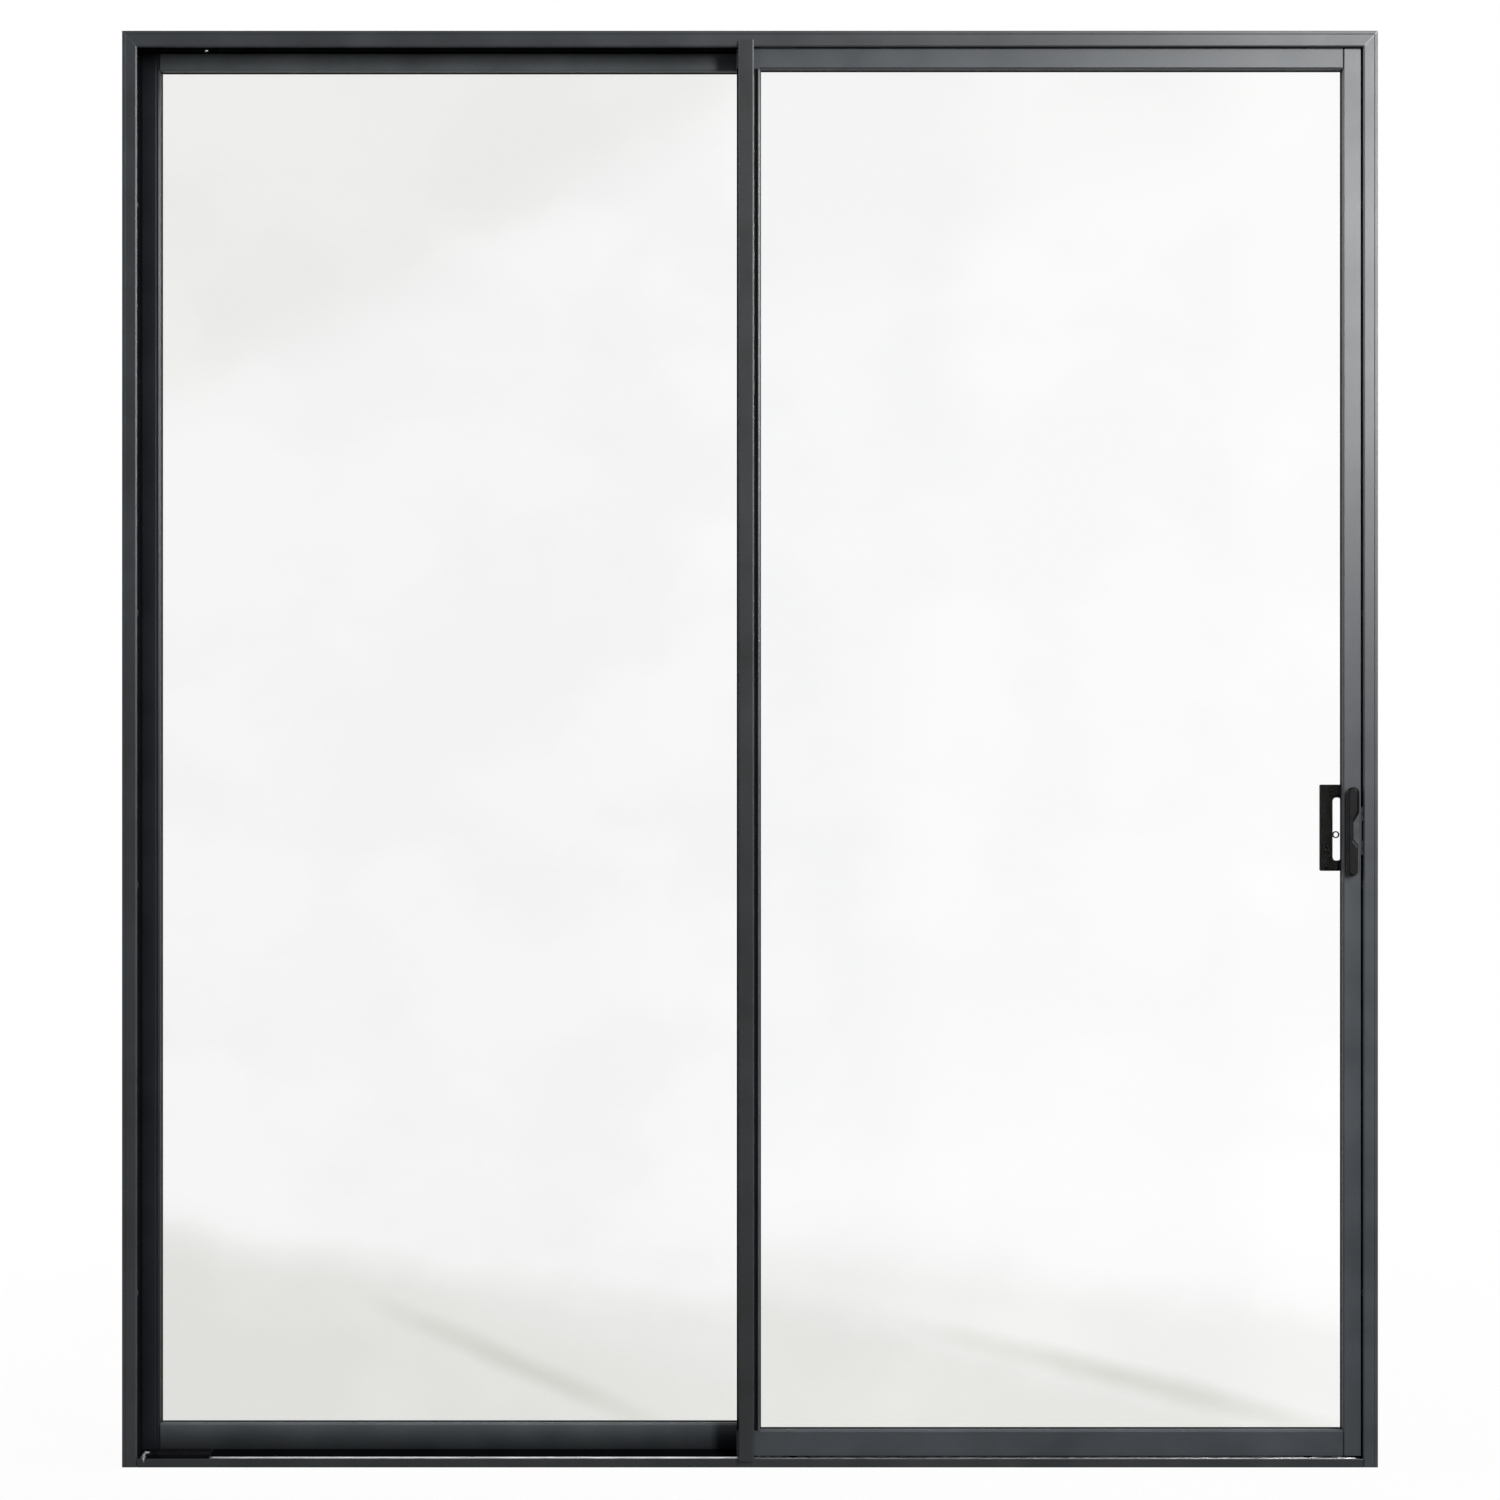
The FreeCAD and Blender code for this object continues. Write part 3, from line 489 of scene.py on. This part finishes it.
# The closing seal: a black rubber bulb in the right jamb's channel, in front of the keeper.
# It is an extruded half round on a flat foot, pressed onto the web from sill to head, with a
# fine ripple along its crown where it was drawn off the reel.
def upright_seal(name, foot_x, middle_y, radius, reach, z_span, body, material):
    """A half round of the given radius and reach, carried up from z_span[0] to z_span[1].
    Its crown waves in and out by a twentieth of its reach, twelve times a metre."""
    rows, turns = 120, 16
    height = np.linspace(*z_span, rows)[:, None]
    angle = np.linspace(-np.pi / 2, np.pi / 2, turns)[None]
    wave = 1 + 0.05 * np.sin(2 * np.pi * 12 * height)
    x = foot_x + reach * np.cos(angle) * wave
    y = middle_y + radius * np.sin(angle) + 0 * height
    points = np.stack([x, y, height + 0 * angle], -1)
    return grid_piece(name, points, body, material, around=True, caps=True)


def gasket_rubber():
    """Near-black rubber with a dusty cloud."""
    material, nodes, links, rubber = fresh("gasket_rubber")
    dust = grain(nodes, links, 0.03, 3.0)
    links.new(ramp(nodes, links, dust, (0.003, 0.003, 0.0035), (0.008, 0.008, 0.009)),
              rubber.inputs["Base Color"])
    links.new(ramp(nodes, links, dust, 0.55, 0.75), rubber.inputs["Roughness"])
    rubber.inputs["Specular IOR Level"].default_value = 0.05
    links.new(relief(nodes, links, grain(nodes, links, 0.001), 0.00004), rubber.inputs["Normal"])
    return material


rubber = gasket_rubber()
seal_margin = 0.012
seal_middle = keeper_box[0][1] - 0.005
seal_radius, seal_reach = 0.0028, -0.0024
upright_seal("closing_seal", jamb_web, seal_middle, seal_radius, seal_reach,
             (stile_box[0][2] + seal_margin, stile_box[1][2] - seal_margin), "frame", rubber)


# The stop at the open end of the track: a moulded black buffer, matt with a fine spark
# texture, pushed over the track.
def black_nylon(name, dark, light):
    """Near-black moulded plastic with a fine even texture."""
    material, nodes, links, nylon = fresh(name)
    cloud = grain(nodes, links, 0.02, 3.0)
    links.new(ramp(nodes, links, cloud, dark, light), nylon.inputs["Base Color"])
    links.new(ramp(nodes, links, cloud, 0.42, 0.6), nylon.inputs["Roughness"])
    nylon.inputs["Specular IOR Level"].default_value = 0.03
    links.new(relief(nodes, links, grain(nodes, links, 0.0005), 0.00004), nylon.inputs["Normal"])
    return material


clothe(("open_stop",), black_nylon("buffer_black", (0.0010, 0.0010, 0.0012),
                                   (0.003, 0.003, 0.0035)))
stop_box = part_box("open_stop")


# The sealant at the foot of the left jamb: a short run of clear silicone smeared up the end
# of the stop into the sill's corner, and a dab of it over the sill's lip, glossy and lumpy,
# as a gun and a finger leave it.
def sealant_run(name, path, girth, body, material):
    """A tube whose centre follows path through smooth blends of its points and whose radius
    follows girth, with two waves round and along it for the lumps."""
    path, girth = np.array(path), np.array(girth)
    steps, turns = 28, 18
    t = np.linspace(0, len(path) - 1, steps)
    knots = np.arange(len(path))
    middle = np.stack([np.interp(t, knots, path[:, axis]) for axis in range(3)], -1)
    for _ in range(3):
        middle[1:-1] = (middle[:-2] + 2 * middle[1:-1] + middle[2:]) / 4
    ends = np.sqrt(np.clip(np.sin(np.linspace(0.08, np.pi - 0.08, steps)), 0, 1))
    radius = np.interp(t, knots, girth) * ends
    run = np.gradient(middle, axis=0)
    run /= np.linalg.norm(run, axis=1, keepdims=True)
    side = np.cross(run, (0.0, 1.0, 0.0))
    side /= np.linalg.norm(side, axis=1, keepdims=True)
    out = np.cross(side, run)
    angle = np.linspace(0, 2 * np.pi, turns, endpoint=False)
    lump = (1 + 0.16 * np.sin(3 * angle[None] + 2.1 * t[:, None])
            + 0.10 * np.sin(5 * t[:, None] - angle[None]))
    reach = radius[:, None] * lump
    points = (middle[:, None] + (reach * np.cos(angle))[..., None] * side[:, None]
              + (0.75 * reach * np.sin(angle))[..., None] * out[:, None])
    return grid_piece(name, points, body, material, around=True, caps=True)


def clear_silicone():
    """Cloudy clear silicone with a wet gloss and a finger-smoothed ripple."""
    material, nodes, links, silicone = fresh("clear_silicone")
    cloud = grain(nodes, links, 0.004, 3.0)
    silicone.inputs["Metallic"].default_value = 0.15
    silicone.inputs["IOR"].default_value = 1.41
    smear = grain(nodes, links, 0.0042, 2.0, (1.5, 1.0, 0.5))
    links.new(ramp(nodes, links, smear, (0.016, 0.018, 0.017), (0.20, 0.215, 0.21), 0.40, 0.68),
              silicone.inputs["Base Color"])
    links.new(ramp(nodes, links, cloud, 0.08, 0.25), silicone.inputs["Roughness"])
    links.new(relief(nodes, links, smear, 0.0006), silicone.inputs["Normal"])
    return material


stop_left, stop_front = stop_box[0][0], stop_box[0][1]
silicone = clear_silicone()
sealant_run("foot_sealant",
            [(stop_left - 0.0030, stop_front + 0.0020, 0.0030),
             (stop_left - 0.0022, stop_front + 0.0006, 0.0090),
             (stop_left - 0.0012, stop_front + 0.0010, 0.0145),
             (stop_left + 0.0010, stop_front + 0.0040, stop_box[1][2] + 0.0012),
             (stop_left + 0.0062, stop_front + 0.0085, stop_box[1][2] + 0.0006)],
            [0.0026, 0.0034, 0.0032, 0.0028, 0.0018], "frame", silicone)
sill_lip_height = 0.0125
lip_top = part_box("sill")[0][2] + sill_lip_height
sealant_run("lip_sealant",
            [(stop_left + 0.0010, front_plane + 0.0003, 0.0060),
             (stop_left + 0.0006, front_plane + 0.0001, 0.0095),
             (stop_left + 0.0002, front_plane + 0.0005, lip_top),
             (stop_left + 0.0002, front_plane + 0.0030, lip_top + 0.0004)],
            [0.0009, 0.0011, 0.0013, 0.0012], "frame", silicone)


# The panels' stiles and rails: lighter extruded bars with a glazing pocket, cut square and
# screwed together at the corners. The fixed stiles and the cover wear darker copies of the coat
# for painted shade, and the top rails, the fixed foot rail and the lock stile lighter copies for
# painted light. Painted shade also darkens the fixed foot rail towards its foot and the meeting
# stile's strip beside the cover.
rail_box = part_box("fixed_bottom_rail")
# A darker copy of the coat on the fixed stiles, for painted shade.
clothe(("fixed_left_stile", "fixed_meeting_stile"),
       powder_coat("charcoal_fixed_stile_painted_shade_coat", (0.0028, 0.0036, 0.0048), (0.0048, 0.0060, 0.0080)))
# Lighter copies of the coat on the top rails, for painted light under the head's lip.
clothe(("fixed_top_rail",), powder_coat("charcoal_fixed_top_painted_light_coat", (0.0336, 0.0377, 0.0400),
                                        (0.0522, 0.0568, 0.0603)))
clothe(("sliding_top_rail",), powder_coat("charcoal_sliding_top_painted_light_coat", (0.0174, 0.0198, 0.0222),
                                          (0.0264, 0.0300, 0.0330), gloss=(0.34, 0.41)))
# A lighter copy of the coat for painted light on the fixed foot rail, with painted shade that
# darkens it towards its foot.
clothe(("fixed_bottom_rail",), powder_coat("charcoal_fixed_foot_painted_light_and_shade_coat", (0.0287, 0.0328, 0.0361),
                                           (0.0443, 0.0492, 0.0533),
                                           painted_shade_bounds=(("Z", rail_box[0][2], rail_box[1][2]),),
                                           least=0.25))
panel_coat = (0.0155, 0.0178, 0.0207), (0.0237, 0.0266, 0.0303)
clothe(("sliding_bottom_rail",), powder_coat("charcoal_sliding_coat", *panel_coat))
stile_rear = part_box("meeting_stile")[1][1]
foot_rail_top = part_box("sliding_bottom_rail")[1][2]
top_rail_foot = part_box("sliding_top_rail")[0][2]
bead_edge = 0.0112
stile_rear_wall = stile_rear - 0.004
# Painted shade on the meeting stile's strip between the cover and the bead, between the foot
# rail and the top rail, and not on its rear.
stile_painted_shade_bounds = (("X", bead_edge, bead_edge + narrow_blend),
               ("Y", stile_rear_wall, stile_rear_wall + blend_width),
               ("Z", foot_rail_top, foot_rail_top - blend_width),
               ("Z", top_rail_foot, top_rail_foot + blend_width))
clothe(("meeting_stile",), powder_coat("charcoal_meeting_stile_painted_shade_coat", *panel_coat,
                                       painted_shade_bounds=stile_painted_shade_bounds))
# A lighter copy of the panel coat on the lock stile, for painted light.
clothe(("lock_stile",), powder_coat("charcoal_lock_stile_painted_light_coat", (0.0165, 0.0188, 0.0218),
                                    (0.0248, 0.0277, 0.0315), gloss=(0.31, 0.375)))
# A darker copy of the coat on the interlock cover, for painted shade.
clothe(("interlock_cover",), powder_coat("charcoal_cover_painted_shade_coat", (0.0070, 0.0078, 0.0082),
                                         (0.0113, 0.0122, 0.0129)))
stile_screw_radius = 0.0036
stile_screw_offset = 0.010
stile_screw_heights = (stile_box[0][2] + 0.018, stile_box[1][2] - 0.012)
for number, height in enumerate(stile_screw_heights, 1):
    for word, side in (("front", -1), ("rear", 1)):
        screw_head(f"stile_screw_{word}_{number}",
                   (stile_box[1][0], channel_middle + side * stile_screw_offset, height),
                   (1, 0, 0), stile_screw_radius, "sliding_panel", zinc,
                   countersunk=True)


# The glass: two clear toughened panes whose tint carries painted reflections. Grey painted
# clouds lie over the fixed pane and thin out on the sliding one, and a warmer painted reflection
# lies in the fixed pane's top left corner and at each pane's foot, where one soft dark painted
# reflection runs down to the right.
def painted_dark_band(nodes, links, centre, slope, half_length, half_width):
    """1 inside a soft long ellipse on the pane, fading to 0 at its edge."""
    place = nodes.new("ShaderNodeTexCoord")
    inside = nodes.new("ShaderNodeMapping")
    inside.vector_type = "TEXTURE"
    inside.inputs["Location"].default_value = (centre[0], 0, centre[1])
    inside.inputs["Rotation"].default_value = (0, slope, 0)
    inside.inputs["Scale"].default_value = (half_length, 5.0, half_width)
    links.new(place.outputs["Object"], inside.inputs["Vector"])
    length = nodes.new("ShaderNodeVectorMath")
    length.operation = "LENGTH"
    links.new(inside.outputs[0], length.inputs[0])
    edge = sum_of(nodes, links, length.outputs["Value"], grain(nodes, links, 0.12, 3.0), 0.5)
    return ramp(nodes, links, edge, 1.0, 0.0, 0.25, 1.25, soft=True)


def painted_reflection_level(nodes, links, base, painted_bands):
    """base plus every painted band of reflection. A band is a slope along X, the level at which
    it starts, the level at which it is full, and its share. The level is Z plus slope times X,
    or X alone where the slope is None, and a little noise makes its edge ragged."""
    place = nodes.new("ShaderNodeSeparateXYZ")
    links.new(nodes.new("ShaderNodeTexCoord").outputs["Object"], place.inputs[0])
    ragged = grain(nodes, links, 0.14, 4.0)
    total = base
    for slope, start, full, share in painted_bands:
        level = place.outputs["X"]
        if slope is not None:
            level = sum_of(nodes, links, place.outputs["Z"], level, slope)
        level = sum_of(nodes, links, level, ragged, 0.06)
        total = sum_of(nodes, links, total,
                       ramp(nodes, links, level, 0.0, share, start, full, soft=True))
    return total


def glass_with_painted_reflections(name, grey_tone, grey_base, cloud_share, grey_painted_bands, warm_painted_bands, painted_dark_bands):
    """Clear glass whose tint carries the painted reflections, and which lets lamplight straight
    through. Its mirror image of the white room is kept faint by a low index."""
    material, nodes, links, glass = fresh(name)
    glass.inputs["Transmission Weight"].default_value = 1.0
    glass.inputs["Roughness"].default_value = 0.0
    glass.inputs["IOR"].default_value = 1.17
    # Painted reflections: grey clouds and bands, warm bands and a dark band darken the glass's
    # tint.
    clouds = ramp(nodes, links, grain(nodes, links, 0.34, 7.0, (1.0, 1.0, 1.3)), 0.0,
                  cloud_share, 0.4, 0.6, soft=True)
    grey = sum_of(nodes, links, painted_reflection_level(nodes, links, grey_base, grey_painted_bands), clouds)
    warm = painted_reflection_level(nodes, links, 0.0, warm_painted_bands)
    for centre, slope, half_length, half_width, share in painted_dark_bands:
        warm = sum_of(nodes, links, warm,
                      painted_dark_band(nodes, links, centre, slope, half_length, half_width), share)
    tint = nodes.new("ShaderNodeVectorMath")
    tint.operation = "MULTIPLY"
    links.new(ramp(nodes, links, grey, (1.0, 1.0, 1.0), grey_tone, 0.0, 1.0), tint.inputs[0])
    links.new(ramp(nodes, links, warm, (1.0, 1.0, 1.0), (0.62, 0.63, 0.56), 0.0, 1.0),
              tint.inputs[1])
    links.new(tint.outputs[0], glass.inputs["Base Color"])
    path = nodes.new("ShaderNodeLightPath")
    through = nodes.new("ShaderNodeBsdfTransparent")
    through.inputs["Color"].default_value = (0.93, 0.95, 0.94, 1)
    blend = nodes.new("ShaderNodeMixShader")
    links.new(path.outputs["Is Shadow Ray"], blend.inputs[0])
    links.new(glass.outputs[0], blend.inputs[1])
    links.new(through.outputs[0], blend.inputs[2])
    links.new(blend.outputs[0], nodes["Material Output"].inputs["Surface"])
    return material


# The painted reflections on each pane: grey clouds and bands, warm bands and one dark band.
clothe(("fixed_glass",), glass_with_painted_reflections(
    "fixed_pane_glass", (0.62, 0.62, 0.62), 0.20, 0.09,
    [(None, -0.25, 0.0, -0.05)],
    [(-0.531, 1.96, 2.14, 0.19), (0.1323, 0.285, 0.195, 0.27), (0.30, 0.18, 0.08, 0.14)],
    [((-0.335, 0.128), 0.411, 0.31, 0.030, 0.34)]))
clothe(("sliding_glass",), glass_with_painted_reflections(
    "sliding_pane_glass", (0.61, 0.63, 0.625), 0.0, 0.07,
    [(None, 0.81, 0.70, 0.06), (-10.8, -2.6, -0.6, 0.07), (0.0, 0.55, 0.95, 0.03)],
    [(-0.35, 1.60, 1.85, 0.09), (0.1324, 0.41, 0.31, 0.18), (0.2517, 0.325, 0.24, 0.22)],
    [((0.57, 0.122), 0.247, 0.40, 0.030, 0.40)]))


# The glazing gaskets: black rubber wedges pushed in between the glass and the lips.
# They are of the same dull rubber as the closing seal.
clothe(("fixed_gasket_front", "fixed_gasket_rear", "sliding_gasket_front",
        "sliding_gasket_rear"), rubber)


# The rollers and guides: dark nylon, moulded, a little lighter than the buffer. The wheels
# sit in their carriages in the foot rail, and the guides are pushed into the top rail.
clothe(("roller_left", "roller_right", "roller_carriage_left", "roller_carriage_right",
        "top_guide_left", "top_guide_right"),
       black_nylon("roller_nylon", (0.006, 0.006, 0.0065), (0.014, 0.014, 0.015)))


# The handle set: die-cast grips with a black satin coat, smoother and duller than the bars'
# coat, and worn a little brighter where hands rub it. The plate under the grip is greyer.
def satin_black(name, dark, light, gloss, rough=0.34):
    """Black satin coat with faint worn clouds, at least as rough as rough."""
    material, nodes, links, coat = fresh(name)
    coat.inputs["Specular IOR Level"].default_value = gloss
    cloud = grain(nodes, links, 0.012, 3.0)
    links.new(ramp(nodes, links, cloud, dark, light), coat.inputs["Base Color"])
    links.new(ramp(nodes, links, cloud, rough, rough + 0.12), coat.inputs["Roughness"])
    links.new(relief(nodes, links, grain(nodes, links, 0.0008), 0.00003), coat.inputs["Normal"])
    return material


clothe(("inner_pull",),
       satin_black("grip_black", (0.0012, 0.0012, 0.0013), (0.0032, 0.0032, 0.0036), 0.06,
                   rough=0.40))
clothe(("outer_pull", "lock_eye"),
       satin_black("pull_black", (0.0010, 0.0009, 0.0005), (0.0028, 0.0025, 0.0016), 0.01,
                   rough=0.5))
clothe(("handle_plate",),
       satin_black("plate_black", (0.020, 0.021, 0.022), (0.034, 0.035, 0.037), 0.12))
pull_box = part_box("outer_pull")
pull_screw_end, pull_screw_inset = 0.0065, 0.0045
pull_screw_radius = 0.0036
pull_screw_heights = (pull_box[0][2] + pull_screw_end, pull_box[1][2] - pull_screw_end)
for number, height in enumerate(pull_screw_heights, 1):
    screw_head(f"pull_screw_{number}",
               (pull_box[1][0] - pull_screw_inset, pull_box[1][1], height), (0, 1, 0),
               pull_screw_radius, "sliding_panel", phosphated,
               countersunk=True)

bpy.context.scene.view_settings.view_transform = "Standard"
